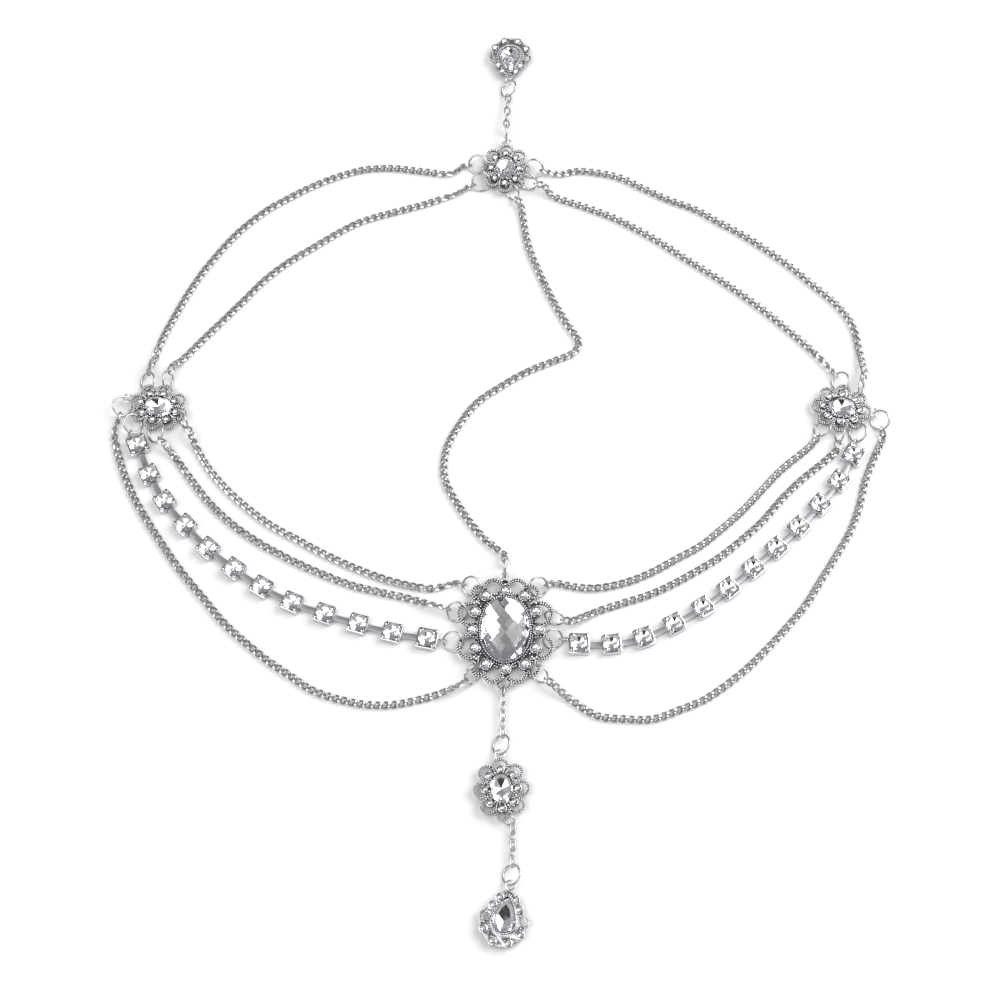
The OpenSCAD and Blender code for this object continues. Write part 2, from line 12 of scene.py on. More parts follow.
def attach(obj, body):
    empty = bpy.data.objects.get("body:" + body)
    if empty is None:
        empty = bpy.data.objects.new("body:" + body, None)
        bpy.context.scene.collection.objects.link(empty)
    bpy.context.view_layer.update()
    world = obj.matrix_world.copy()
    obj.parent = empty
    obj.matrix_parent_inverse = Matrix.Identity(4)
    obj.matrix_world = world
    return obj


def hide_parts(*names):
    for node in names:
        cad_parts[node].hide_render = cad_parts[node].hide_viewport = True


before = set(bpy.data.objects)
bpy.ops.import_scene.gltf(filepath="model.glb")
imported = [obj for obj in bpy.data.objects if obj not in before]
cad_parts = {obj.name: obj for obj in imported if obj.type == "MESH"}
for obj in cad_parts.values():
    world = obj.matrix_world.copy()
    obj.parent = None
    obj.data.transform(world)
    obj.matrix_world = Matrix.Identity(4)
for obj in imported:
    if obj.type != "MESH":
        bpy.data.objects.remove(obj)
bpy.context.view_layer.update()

mm = 0.001
dice = random.Random(7)   # the same small differences in each run
print("frame loaded:", len(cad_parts), "nodes")

# Camera: the point on the floor that it looks at and how it stands off it, in mm, and how near and far it
# sees, in metres
view = {"aim": (-0.6, -14.7), "distance": 555.6, "elevation": 66, "lens": 72.3, "sensor": 36,
        "near": 0.05, "far": 10}


def placeCamera():
    data = bpy.data.cameras.new("camera")
    data.lens = view["lens"]
    data.sensor_width = view["sensor"]
    data.clip_start = view["near"]
    data.clip_end = view["far"]
    camera = bpy.data.objects.new("camera", data)
    rise = math.radians(view["elevation"])
    back = Vector((0, -math.cos(rise), math.sin(rise)))
    camera.location = Vector((*view["aim"], 0)) * mm + back * view["distance"] * mm
    camera.rotation_euler = (-back).to_track_quat("-Z", "Y").to_euler()
    bpy.context.scene.collection.objects.link(camera)
    bpy.context.scene.camera = camera


placeCamera()
print("camera placed")


# Colours and shader nodes
def toLinear(hexColour):
    parts = [int(hexColour[i:i + 2], 16) / 255 for i in (1, 3, 5)]
    return [c / 12.92 if c <= 0.04045 else ((c + 0.055) / 1.055) ** 2.4 for c in parts] + [1]


def addNode(tree, kind, settings=None, links=None):
    node = tree.nodes.new("ShaderNode" + kind)
    for name, value in (settings or {}).items():
        if name in node.inputs:
            node.inputs[name].default_value = value
        else:
            setattr(node, name, value)
    for name, source in (links or {}).items():
        tree.links.new(source, node.inputs[name])
    return node


def startMaterial(name, finish):
    material = bpy.data.materials.new(name)
    material.use_nodes = True
    tree = material.node_tree
    shader = tree.nodes["Principled BSDF"]
    for socket, value in finish.items():
        shader.inputs[socket].default_value = value
    return material, tree, shader


# Plated metal. In mm: cloud is the size of its faint cloudiness, skin that of its surface's ripple, and depth
# the ripple's height
def platedMetal(name, colours, roughness, cloud, skin, depth):
    material, tree, shader = startMaterial(name, {"Metallic": 1})
    place = addNode(tree, "TexCoord").outputs["Object"]
    clouds = addNode(tree, "TexNoise", {"Scale": 1 / (cloud * mm), "Detail": 3}, {"Vector": place})
    tint = addNode(tree, "Mix", {"data_type": "RGBA"}, {"Factor": clouds.outputs["Fac"]})
    tint.inputs["A"].default_value = toLinear(colours[0])
    tint.inputs["B"].default_value = toLinear(colours[1])
    tree.links.new(tint.outputs["Result"], shader.inputs["Base Color"])
    rough = addNode(tree, "MapRange", {"To Min": roughness[0], "To Max": roughness[1]},
                    {"Value": clouds.outputs["Fac"]})
    tree.links.new(rough.outputs["Result"], shader.inputs["Roughness"])
    ripple = addNode(tree, "TexNoise", {"Scale": 1 / (skin * mm), "Detail": 2}, {"Vector": place})
    bump = addNode(tree, "Bump", {"Strength": 1, "Distance": depth * mm}, {"Height": ripple.outputs["Fac"]})
    tree.links.new(bump.outputs["Normal"], shader.inputs["Normal"])
    return material


# Rhodium-look plating over die-cast zinc: bright, with the slight ripple that a casting keeps under it
castMetal = platedMetal("rhodium_plated_zinc_casting", ("#E6E7E9", "#F6F6F7"), (0.08, 0.18), 1.5, 0.35, 0.008)
# The castings' ground keeps the cast skin: duller, and painted darker as shade in the recesses between the
# beads, so that the beads stand out from it
shadedCastGround = platedMetal("dull_cast_ground_painted_shade", ("#323338", "#4E4F54"), (0.32, 0.5), 1.2, 0.25, 0.02)
# The drops' ground carries a lighter painted shade, so it is brighter than the other castings' ground
lightlyShadedDropGround = platedMetal("drop_ground_lighter_painted_shade", ("#96979B", "#B9BABD"), (0.14, 0.28), 1.2, 0.4, 0.03)
# Nickel-silver plating over drawn brass wire: smoother, with a highlight that runs along each link
wireMetal = platedMetal("plated_drawn_brass_wire", ("#B9BABD", "#D6D7D9"), (0.14, 0.24), 2.5, 0.3, 0.004)
# Plating over stamped sheet brass: the mirror-like walls of the claw cups
cupMetal = platedMetal("plated_stamped_brass", ("#C4C5C8", "#DEDFE1"), (0.08, 0.16), 3, 0.6, 0.004)
# Satin plating over rolled strip: the bars between the cups look an even grey
stripMetal = platedMetal("satin_plated_brass_strip", ("#A6A7AA", "#B8B9BC"), (0.3, 0.42), 2, 0.12, 0.004)

# Machine-cut lead-free crystal glass: clear, with hard facet edges
crystal, _, _ = startMaterial(
    "machine_cut_crystal_glass",
    {"Base Color": toLinear("#FFFFFF"), "Roughness": 0, "IOR": 1.56, "Transmission Weight": 1},
)
# Silver foil behind the stones: it sends the light back up through the facets
foil, _, _ = startMaterial(
    "silver_foil_backing", {"Base Color": toLinear("#F2F3F5"), "Metallic": 1, "Roughness": 0.05}
)
print("materials made")


# Meshes are shaped in mm and scaled to metres as they are finished
def newPiece(name, bm, materials, nodes, smooth=None):
    bmesh.ops.scale(bm, vec=(mm, mm, mm), verts=bm.verts)
    mesh = bpy.data.meshes.new(name)
    bm.to_mesh(mesh)
    bm.free()
    for material in materials:
        mesh.materials.append(material)
    if smooth:
        mesh.shade_smooth()
        mesh.set_sharp_from_angle(angle=math.radians(smooth))
    else:
        mesh.shade_flat()
    piece = bpy.data.objects.new(name, mesh)
    bpy.context.scene.collection.objects.link(piece)
    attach(piece, "root")
    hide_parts(*nodes)
    return piece


# A mesh that is kept aside and copied
def template(bm, name):
    mesh = bpy.data.meshes.new(name)
    bm.to_mesh(mesh)
    bm.free()
    return mesh


# Copies of a small mesh, each carried to its place and joined
def joinCopies(bm, mesh, matrices):
    for matrix in matrices:
        copy = mesh.copy()
        copy.transform(matrix)
        bm.from_mesh(copy)
        bpy.data.meshes.remove(copy)


# A place whose x axis runs along one way, with its z axis as near as can be to another
def frameMatrix(middle, alongX, alongZ):
    x = alongX.normalized()
    y = alongZ.cross(x).normalized()
    return Matrix.Translation(middle) @ Matrix((x, y, x.cross(y))).transposed().to_4x4()


def ovalOutline(halfWidth, halfLength):
    return lambda turn: Vector((halfWidth * math.cos(turn), halfLength * math.sin(turn), 0))


# A loop of round wire: a circle is spun, and each section is then carried to its place on the line
def wireLoop(line, wire, steps, sides):
    nudge = 0.01   # radians, to find which way the line runs
    across = Matrix.Translation((1, 0, 0)) @ Matrix.Rotation(math.pi / 2, 4, "X")
    bm = bmesh.new()
    bmesh.ops.create_circle(bm, segments=sides, radius=wire / 2, matrix=across)
    bmesh.ops.spin(bm, geom=bm.verts[:] + bm.edges[:], axis=(0, 0, 1), angle=math.tau, steps=steps,
                   use_merge=True)
    for vert in bm.verts:
        turn = math.atan2(vert.co.y, vert.co.x)
        off, lift = math.hypot(vert.co.x, vert.co.y) - 1, vert.co.z
        middle = line(turn)
        way = (line(turn + nudge) - line(turn - nudge)).normalized()
        out = (middle - way * middle.dot(way)).normalized()
        vert.co = middle + out * off + way.cross(out) * -lift
    bmesh.ops.recalc_face_normals(bm, faces=bm.faces)
    return bm


weld = 0.001   # mm, corners nearer than this are one


# A merged copy of a CAD node's mesh, in mm
def copyNode(node):
    bm = bmesh.new()
    bm.from_mesh(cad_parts[node].data)
    bmesh.ops.scale(bm, vec=(1 / mm, 1 / mm, 1 / mm), verts=bm.verts)
    bmesh.ops.remove_doubles(bm, verts=bm.verts, dist=weld)
    return bm


# Its loose solids, as groups of corners
def looseGroups(bm):
    groups, seen = [], set()
    for start in bm.verts:
        if start in seen:
            continue
        seen.add(start)
        group = [start]
        for vert in group:
            for edge in vert.link_edges:
                other = edge.other_vert(vert)
                if other not in seen:
                    seen.add(other)
                    group.append(other)
        groups.append(group)
    return groups


def looseParts(node):
    bm = copyNode(node)
    parts = [[vert.co.copy() for vert in group] for group in looseGroups(bm)]
    bm.free()
    return parts


def boxMiddle(points):
    return Vector([(min(p[k] for p in points) + max(p[k] for p in points)) / 2 for k in range(3)])


# The middle of a loose solid and its axes, from the longest to the shortest
def axesOf(points):
    middle = boxMiddle(points)
    spread = np.cov((np.array(points) - np.array(middle)).T)
    shortest, between, longest = (Vector(column) for column in np.linalg.eigh(spread)[1].T)
    return middle, longest, between, shortest


# Jump rings: round wire, cut once and pushed together again. The cut and its place past the highest point are
# in degrees
jumpRing = {"cut": 3, "steps": 40, "sides": 10, "cutPast": 25, "smooth": 50}
ringPieces = {
    "centre_rings": "centre_jump_rings", "left_rings": "left_jump_rings",
    "right_rings": "right_jump_rings", "back_rings": "back_jump_rings",
    "back_drop_ring": "back_drop_jump_ring", "flower_ring": "flower_jump_ring",
    "flower_link": "flower_link", "front_drop_ring": "front_drop_jump_ring",
}


def measureRing(points):
    middle, _, _, axis = axesOf(points)
    axis = axis if axis.z >= 0 else -axis
    reach = [(point - middle).length for point in points]
    wire = 2 * max(abs((point - middle).dot(axis)) for point in points)
    return {"middle": middle, "axis": axis, "radius": max(reach) - wire / 2, "wire": wire}


def addRing(bm, ring):
    top = (Vector((0, 0, 1)) - ring["axis"] * ring["axis"].z).normalized()
    place = frameMatrix(ring["middle"], top, ring["axis"])
    across = Matrix.Translation((ring["radius"], 0, 0)) @ Matrix.Rotation(math.pi / 2, 4, "X")
    turn = Matrix.Rotation(math.radians(jumpRing["cutPast"]), 4, "Z")
    section = bmesh.ops.create_circle(
        bm, cap_ends=True, segments=jumpRing["sides"], radius=ring["wire"] / 2, matrix=place @ turn @ across
    )["verts"]
    face = section[0].link_faces[0]
    swept = math.radians(360 - jumpRing["cut"])
    bmesh.ops.spin(
        bm, geom=[face], cent=ring["middle"], axis=ring["axis"], angle=swept, steps=jumpRing["steps"]
    )


rings = []
for node, name in ringPieces.items():
    bm = bmesh.new()
    for points in looseParts(node):
        rings.append(measureRing(points))
        addRing(bm, rings[-1])
    bmesh.ops.recalc_face_normals(bm, faces=bm.faces)
    newPiece(name, bm, [wireMetal], [node], jumpRing["smooth"])
print("jump rings made:", len(rings))

# Long curb chains, link by link. Length and width are of the wire's centre line, in mm, twists in degrees.
# The first link is turned so that the ring's wire passes between its sides, and the roll settles further on
curb = {"halfLength": 1.65, "halfWidth": 0.84, "wire": 0.62, "twist": 62, "pitch": 2.22, "steps": 12,
        "sides": 5, "lay": 0.74, "firstLink": 0.8, "ringTwist": 30, "eyeReach": 1.15, "straight": 2.2,
        "settle": 11, "jitter": 4, "smooth": 60}
# Points of each route on the floor, in mm, from the first ring to the last
routes = {
    "back_outer_chain_left": [(-15, 91), (-24, 92), (-32, 93), (-40.5, 92.5), (-48.5, 90), (-56, 86.5),
                              (-63.5, 82), (-70, 77.5), (-78, 69.5), (-85.5, 59), (-90, 51), (-93.5, 43.5),
                              (-97, 35), (-99, 28)],
    "back_inner_chain_left": [(-13, 84), (-22, 80.5), (-30, 78), (-38, 75.5), (-44.5, 72.5), (-55.5, 65),
                              (-62.5, 60), (-69, 54), (-74, 48), (-80, 41), (-86, 34), (-91, 28)],
    "back_outer_chain_right": [(18.5, 91), (24.5, 92), (35, 90), (42.5, 86), (50, 82), (58, 78.5),
                               (65, 74), (72, 69.5), (78.5, 64.5), (85, 59), (91, 53), (97, 47),
                               (101.5, 40), (103, 31)],
    "back_inner_chain_right": [(16, 83), (25, 79.5), (33, 76), (40, 72), (47.5, 67), (54, 62), (61, 57),
                               (67.5, 52), (74, 46.5), (80, 41), (86, 35), (90.5, 30)],
    "crown_chain": [(7, 74), (8.5, 65.5), (11.5, 57), (15, 48.5), (19, 40.5), (22.5, 34.5), (21, 30.5),
                    (14.5, 27.5), (7, 24), (0, 19.5), (-6.5, 14.5), (-11.5, 7.5), (-15, 0), (-15.5, -8.5),
                    (-12, -16.5), (-5.5, -26)],
    "inner_chain_left": [(-85, 0), (-81, -6.5), (-75.5, -13), (-69.5, -18.5), (-63, -23.5), (-56, -27.5),
                         (-49, -31.5), (-42, -35), (-35, -38), (-27.5, -40.5), (-19, -42)],
    "middle_chain_left": [(-91, -2.5), (-86, -9.5), (-81, -16), (-75, -22), (-68.5, -27), (-62, -31),
                          (-54.5, -35), (-48, -38), (-40.5, -41), (-33, -43), (-24.5, -45)],
    "swag_chain_left": [(-108.5, 4.5), (-106, -4.5), (-102.5, -13), (-98, -21), (-90, -33), (-85, -39.5),
                        (-79.5, -46), (-74.5, -52), (-68.5, -57.5), (-62.5, -62.5), (-56, -67), (-50, -71),
                        (-43, -73.5), (-35.5, -75), (-28, -75), (-19, -73)],
    "inner_chain_right": [(85, -1), (78.5, -6.5), (72.5, -13), (67, -19), (61, -24.5), (55, -29.5),
                          (48, -33.5), (41, -37.5), (33.5, -40.5), (24.5, -42)],
    "middle_chain_right": [(90, -4.5), (84, -9.5), (78, -15.5), (72.5, -22), (66.5, -27.5), (60.5, -32.5),
                           (53.5, -37), (46.5, -41), (40, -44), (32.5, -46.5), (25.5, -49)],
    "swag_chain_right": [(106, 0), (102, -9), (99.5, -17.5), (96.5, -25), (92, -32.5), (87.5, -39.5),
                         (83, -46.5), (78, -52.5), (72.5, -58.5), (67, -64), (61, -69), (54.5, -73.5),
                         (47.5, -76.5), (40.5, -79), (33, -79), (25.5, -78), (18.5, -73.5)],
}
# How far each chain has rolled on its side, in degrees
rolls = {"inner_chain_left": 25, "inner_chain_right": -20, "middle_chain_left": 8}


# The middle of a curb link's wire: an oval, twisted so that it lies flat between its neighbours
def curbLine(turn):
    twist = math.radians(curb["twist"]) * math.cos(turn)
    side = curb["halfWidth"] * math.sin(turn)
    return Vector((curb["halfLength"] * math.cos(turn), side * math.cos(twist), side * math.sin(twist)))


# A smooth curve through the points
def smoothLine(points, steps=6):
    line = []
    for i in range(len(points) - 1):
        a, b, c, d = (points[min(max(i + k, 0), len(points) - 1)] for k in (-1, 0, 1, 2))
        for t in (s / steps for s in range(steps)):
            bend = (2 * a - 5 * b + 4 * c - d) * t * t + (3 * b - a - 3 * c + d) * t ** 3
            line.append((2 * b + (c - a) * t + bend) / 2)
    return line + [points[-1]]


# The point at a distance along a line, which runs on straight past its ends
def walk(line):
    reach = [0]
    for a, b in zip(line, line[1:]):
        reach.append(reach[-1] + (b - a).length)

    def pointAt(distance):
        i = min(max(bisect(reach, distance), 1), len(line) - 1)
        return line[i - 1].lerp(line[i], (distance - reach[i - 1]) / (reach[i] - reach[i - 1]))

    return pointAt, reach[-1]


# How far a point is from the middle of a ring's wire
def offRing(ring, point):
    arm = point - ring["middle"]
    rise = arm.dot(ring["axis"])
    return math.hypot((arm - ring["axis"] * rise).length - ring["radius"], rise)


# The two rings that a chain's eyes go round, and where on their wire
def ringEnds(node, first):
    points = [vert.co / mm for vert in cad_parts[node].data.vertices]
    ends = []
    for ring in sorted(rings, key=lambda ring: min(offRing(ring, point) for point in points))[:2]:
        near = boxMiddle([point for point in points if offRing(ring, point) < curb["eyeReach"]])
        arm = near - ring["middle"]
        out = (arm - ring["axis"] * arm.dot(ring["axis"])).normalized()
        at = ring["middle"] + out * ring["radius"]
        ends.append({"at": at, "out": out, "wire": ring["axis"].cross(out)})
    return sorted(ends, key=lambda end: (end["at"] - first).length)


# How far the link at an end is rolled, in degrees, to let the ring's wire pass between its sides
def rollToPass(end, x, lift, sign):
    y, z = lift.cross(x).normalized(), x.cross(lift.cross(x)).normalized()
    slant = math.degrees(math.atan2(end["wire"].dot(z), end["wire"].dot(y)))
    return (slant + 90 - sign * curb["ringTwist"] + 90) % 180 - 90


def longChain(node, route):
    floor = [Vector((x, y, curb["lay"])) for x, y in route]
    start, stop = ringEnds(node, floor[0])
    leave = start["at"] + start["out"] * curb["straight"]
    arrive = stop["at"] + stop["out"] * curb["straight"]
    pointAt, length = walk([start["at"]] + smoothLine([leave] + floor + [arrive]) + [stop["at"]])
    count = round((length - 2 * curb["firstLink"]) / curb["pitch"])
    pitch = (length - 2 * curb["firstLink"]) / count
    up = Vector((0, 0, 1))
    lay = rolls.get(node, 0)
    placed = []
    for i in range(count + 1):
        distance = curb["firstLink"] + i * pitch
        way = pointAt(distance + pitch / 2) - pointAt(distance - pitch / 2)
        roll = lay + dice.uniform(-1, 1) * curb["jitter"]
        for end, gone, sign in ((start, distance, -1), (stop, length - distance, 1)):
            share = max(0, 1 - (gone - curb["firstLink"]) / curb["settle"])
            roll += (rollToPass(end, way, up, sign) - roll) * share
        link = frameMatrix(pointAt(distance), way, up) @ Matrix.Rotation(math.radians(roll), 4, "X")
        # A link that has rolled on its side lies higher, so that it doesn't sink into the floor
        sunk = min(0, min((link @ vert.co).z for vert in curbLink.vertices))
        free = min(1, (min(distance, length - distance) - curb["firstLink"]) / curb["settle"])
        placed.append(Matrix.Translation(up * -sunk * free) @ link)
    bm = bmesh.new()
    joinCopies(bm, curbLink, placed)
    newPiece(node.replace("chain", "curb_links"), bm, [wireMetal], [node], curb["smooth"])
    return count + 1


curbLink = template(wireLoop(curbLine, curb["wire"], curb["steps"], curb["sides"]), "curb_link")
links = sum(longChain(node, route) for node, route in routes.items())
print("curb links made:", links)

# Short chains: plain oval links, each a quarter turn from the last, where the CAD has them
shortLink = {"wire": 0.5, "steps": 16, "sides": 8, "smooth": 60}
shortChains = ["back_drop_chain", "flower_chain", "front_drop_chain"]


def shortChain(node):
    bm = bmesh.new()
    for points in looseParts(node):
        middle, longest, between, shortest = axesOf(points)
        halfLength = max(abs((point - middle).dot(longest)) for point in points) - shortLink["wire"] / 2
        halfWidth = max(abs((point - middle).dot(between)) for point in points) - shortLink["wire"] / 2
        line = ovalOutline(halfLength, halfWidth)
        link = wireLoop(line, shortLink["wire"], shortLink["steps"], shortLink["sides"])
        joinCopies(bm, template(link, node), [frameMatrix(middle, longest, shortest)])
    name = node.replace("chain", "oval_links")
    newPiece(name, bm, [wireMetal], [node], shortLink["smooth"])


for node in shortChains:
    shortChain(node)
print("short chains made")

# Angles between two faces, in degrees: up to flat they are one face, and past sharp their edge is rounded
rounding = {"flat": 0.5, "sharp": 35, "segments": 2}


# A copy of a CAD node with its flats whole and its edges rounded
def softened(node, edge):
    bm = copyNode(node)
    bmesh.ops.dissolve_limit(bm, angle_limit=math.radians(rounding["flat"]), verts=bm.verts, edges=bm.edges)
    bound = math.radians(rounding["sharp"])
    sharp = [e for e in bm.edges if e.is_manifold and e.calc_face_angle(0) > bound]
    bmesh.ops.bevel(bm, geom=sharp, offset=edge, segments=rounding["segments"], profile=0.5, affect="EDGES",
                    clamp_overlap=True, material=-1)
    return bm


# Stones. Rows of a cut: height in mm, share of the outline, points round it, turn in parts of a step. The
# last four rows are the two edges of the girdle, the facets over it and the table
cuts = {
    "large": [(1, 1, 16, 0), (2.5, 1, 16, 0), (2.68, 1, 16, 0), (3.35, 0.86, 8, 0.5), (4.1, 0.66, 8, 0)],
    "cup": [(1.91, 0.02, 4, 0), (2.21, 0.6, 8, 0.5), (2.45, 1, 16, 0), (2.58, 1, 16, 0),
            (2.97, 0.82, 8, 0.5), (3.3, 0.6, 8, 0)],
    "accent": [(2.2, 0.1, 4, 0), (2.48, 1, 8, 0), (2.6, 1, 8, 0), (2.95, 0.78, 8, 0.5), (3.1, 0.55, 8, 0)],
}
# Main facets of the large stones' backs, which meet in the culet: azimuth and lean of each, in degrees
eightMains = [(90, 13.5), (45, 13), (135, 13), (0, 12), (180, 12), (225, 10), (315, 10), (270, 8)]
sixMains = [(90, 13.5), (0, 12), (180, 12), (225, 10), (315, 10), (270, 8)]
culet = 1.5
snap = 0.0001   # mm, corners nearer than this to a facet's plane lie in it


def pearOutline(halfWidth, up, down, pinch):
    def outline(turn):
        s = math.sin(turn)
        width = halfWidth * math.cos(turn) * (1 - pinch * max(s, 0))
        return Vector((width, (up if s > 0 else down) * s, 0))

    return outline


# The hull of a few rings of points is a cut stone: facets above the girdle are glass, those below it foil
def cutStone(outline, cut, mains=(), turned=0):
    bm = bmesh.new()
    for height, share, count, turn in cuts[cut]:
        ring = bmesh.ops.create_circle(bm, segments=count, radius=1)["verts"]
        for i, vert in enumerate(ring):
            vert.co = outline(math.tau * (i + turn) / count) * share + Vector((0, 0, height))
    bmesh.ops.delete(bm, geom=bm.edges[:], context="EDGES_FACES")
    bmesh.ops.convex_hull(bm, input=bm.verts)
    bmesh.ops.dissolve_limit(bm, angle_limit=math.radians(1), verts=bm.verts, edges=bm.edges)
    for azimuth, lean in mains:
        around, slope = math.radians(azimuth + turned), math.radians(lean)
        level = math.sin(slope)
        out = Vector((math.cos(around) * level, math.sin(around) * level, -math.cos(slope)))
        bmesh.ops.bisect_plane(bm, geom=bm.verts[:] + bm.edges[:] + bm.faces[:], dist=snap,
                               plane_co=(0, 0, culet), plane_no=out, clear_outer=True)
        bmesh.ops.holes_fill(bm, edges=[edge for edge in bm.edges if edge.is_boundary])
    bmesh.ops.recalc_face_normals(bm, faces=bm.faces)
    girdle = cuts[cut][-4][0]
    for face in bm.faces:
        face.material_index = 1 if face.calc_center_median().z < girdle else 0
    return bm


# Places of the castings: x and y in mm, turn in degrees
places = {
    "centre": (1.3, -54.5, 0), "left": (-96.5, 12.5, 72), "right": (96.4, 12.2, -99), "back": (1.6, 92.1, -2),
    "front": (0.3, -98.4, 3), "front_drop": (0.8, -132.8, -10.5), "back_drop": (3.2, 132.8, 177),
}


def onCasting(name):
    x, y, turn = places[name]
    return Matrix.Translation((x, y, 0)) @ Matrix.Rotation(math.radians(turn), 4, "Z")


# The centre stone, in mm. Its checkerboard top is a grid laid over a dome, where every square is flat
checker = {"halfWidth": 6.5, "halfLength": 9, "cells": 7, "top": 5.7, "edge": 3.1, "girdle": 2.6, "gap": 0.02,
           "back": 1.05, "backShare": 0.94, "sides": 28}


def checkerStone():
    bm = bmesh.new()
    cells = checker["cells"]
    bmesh.ops.create_grid(bm, x_segments=cells, y_segments=cells, size=1,
                          matrix=Matrix.Rotation(math.pi / 4, 4, "Z"))
    for vert in bm.verts:
        vert.co.z = -vert.co.length_squared
    for i in range(checker["sides"]):
        turn = math.tau * (i + 0.5) / checker["sides"]
        out = Vector((math.cos(turn), math.sin(turn), 0))
        bmesh.ops.bisect_plane(bm, geom=bm.verts[:] + bm.edges[:] + bm.faces[:], plane_co=out, plane_no=out,
                               clear_outer=True)
    rise = checker["top"] - checker["edge"]
    for vert in bm.verts:
        vert.co = Vector((vert.co.x * checker["halfWidth"], vert.co.y * checker["halfLength"],
                          checker["top"] + vert.co.z * rise))
    rim = [edge for edge in bm.edges if edge.is_boundary]
    grown = bmesh.ops.extrude_edge_only(bm, edges=rim)["geom"]
    for vert in (item for item in grown if isinstance(item, bmesh.types.BMVert)):
        vert.co.z = checker["girdle"]
    bmesh.ops.holes_fill(bm, edges=[edge for edge in bm.edges if edge.is_boundary])
    bmesh.ops.recalc_face_normals(bm, faces=bm.faces)
    for face in bm.faces:
        face.material_index = 1 if face.calc_center_median().z < checker["girdle"] + checker["gap"] else 0
    deep = checker["girdle"] - checker["gap"] - checker["back"]
    body = bmesh.ops.create_cone(
        bm, cap_ends=True, segments=checker["sides"], radius1=checker["backShare"], radius2=1, depth=deep,
        matrix=Matrix.Translation((0, 0, checker["back"] + deep / 2))
    )["verts"]
    bmesh.ops.scale(bm, vec=(checker["halfWidth"], checker["halfLength"], 1), verts=body)
    for face in {face for vert in body for face in vert.link_faces}:
        face.material_index = 1
    return bm


def setStones(name, node, gem, matrices):
    bm = bmesh.new()
    joinCopies(bm, gems[gem], matrices)
    newPiece(name, bm, [crystal, foil], [node])


gems = {
    "checker": template(checkerStone(), "checker"),
    "cup": template(cutStone(ovalOutline(2.35, 2.35), "cup"), "cup_gem"),
    "largeAccent": template(cutStone(ovalOutline(1.25, 1.25), "accent"), "large_accent"),
    "smallAccent": template(cutStone(ovalOutline(0.75, 0.75), "accent"), "small_accent"),
}


def seatPlaces(node):
    return [Matrix.Translation((*boxMiddle(points).xy, 0)) for points in looseParts(node)]


setStones("centre_crystal", "centre_stone", "checker", [onCasting("centre")])
setStones("centre_accent_crystals", "centre_accent_stones", "largeAccent", seatPlaces("centre_accent_stones"))
# The large stones: outline, main facets, and how far these are turned in the outline, in degrees
oval, pear = ovalOutline(3, 4), pearOutline(3, 6, 3, 0.4)
largeStones = {
    "left_flower": (oval, eightMains, -50), "right_flower": (oval, eightMains, 99),
    "back_flower": (oval, eightMains, 0), "front_flower": (oval, eightMains, 0),
    "front_drop": (pear, sixMains, 0), "back_drop": (pear, eightMains, 180),
}
for name, (outline, mains, turned) in largeStones.items():
    gems[name] = template(cutStone(outline, "large", mains, turned), name)
    setStones(name + "_crystal", name + "_stone", name, [onCasting(name.removesuffix("_flower"))])
    setStones(name + "_accent_crystals", name + "_accents", "smallAccent", seatPlaces(name + "_accents"))
for side in ("left", "right"):
    setStones(side + "_cup_crystals", side + "_cup_stones", "cup", seatPlaces(side + "_cup_stones"))
print("stones cut")

# Cup chains: the CAD's claw cups and bars with their edges rounded. Loose solids lower than barHeight, in mm,
# are the bars
cupChain = {"edge": 0.13, "barHeight": 1, "smooth": 35}


def cupChainPiece(side):
    bm = softened(side + "_cup_chain", cupChain["edge"])
    for group in looseGroups(bm):
        heights = [vert.co.z for vert in group]
        if max(heights) - min(heights) < cupChain["barHeight"]:
            for face in {face for vert in group for face in vert.link_faces}:
                face.material_index = 1
    newPiece(side + "_claw_cups_and_bars", bm, [cupMetal, stripMetal], [side + "_cup_chain"],
             cupChain["smooth"])


for side in ("left", "right"):
    cupChainPiece(side)
print("claw cups made")

# Castings: the CAD's form with rounded edges, and the beading that is cast on it. Sizes and heights in mm.
# spacing, crowd and seatClear are in bead widths, and bezelShare in reaches of the bezel
beading = {"segments": 7, "rings": 4, "edge": 0.13, "clear": 0.05, "spacing": 1.22, "crowd": 0.8,
           "rim": 0.54, "prong": 0.5, "grain": 0.85, "prongOut": 0.3, "seatWall": 0.33, "seatClear": 0.4,
           "bezelShare": 1.08, "bailReach": 1.5, "lobeTop": 2.24, "bezelTop": 2.86, "seatTop": 2.6,
           "level": 0.1, "smooth": 40}
# Each kind's small stones, the beads along its lobes, how far their rows stand off the lobe's middle, the
# place of its bail, and the ground between the beads, whose darkness is painted shade
kinds = {
    "centre": {"stone": 1.25, "bead": 0.6, "rows": (0.29, -0.29), "bail": 15.3, "ground": shadedCastGround},
    "flower": {"stone": 0.75, "bead": 0.5, "rows": (0.22, -0.22), "bail": 9.35, "ground": shadedCastGround},
    "drop": {"stone": 0.75, "bead": 0.55, "rows": (0.2,), "bail": 9.4, "ground": lightlyShadedDropGround},
}
quarters = [(-1, -1), (-1, 1), (1, -1), (1, 1)]


# Eight places round an oval, the first of them at an angle in degrees
def eightRound(halfWidth, halfLength, first):
    turns = [math.radians(first + 45 * i) for i in range(8)]
    return [(halfWidth * math.cos(turn), halfLength * math.sin(turn)) for turn in turns]


# Lobes, as the CAD has them: x, y, outer radius, width of the band
lobes = {
    "centre": [(x * sx, y * sy, r, 0.9) for x, y, r in ((3.2, 12.2, 2.8), (6.9, 10.7, 2.4), (9.4, 4.7, 3.6))
               for sx, sy in quarters] + [(-0.4, -14.85, 2.05, 0.7)],
    "flower": [(x, y, 2.2, 0.65) for x, y in eightRound(5.2, 6.2, 90)],
    "drop": [(sx * 4.75, 0.6, 1.75, 0.65) for sx in (-1, 1)],
}
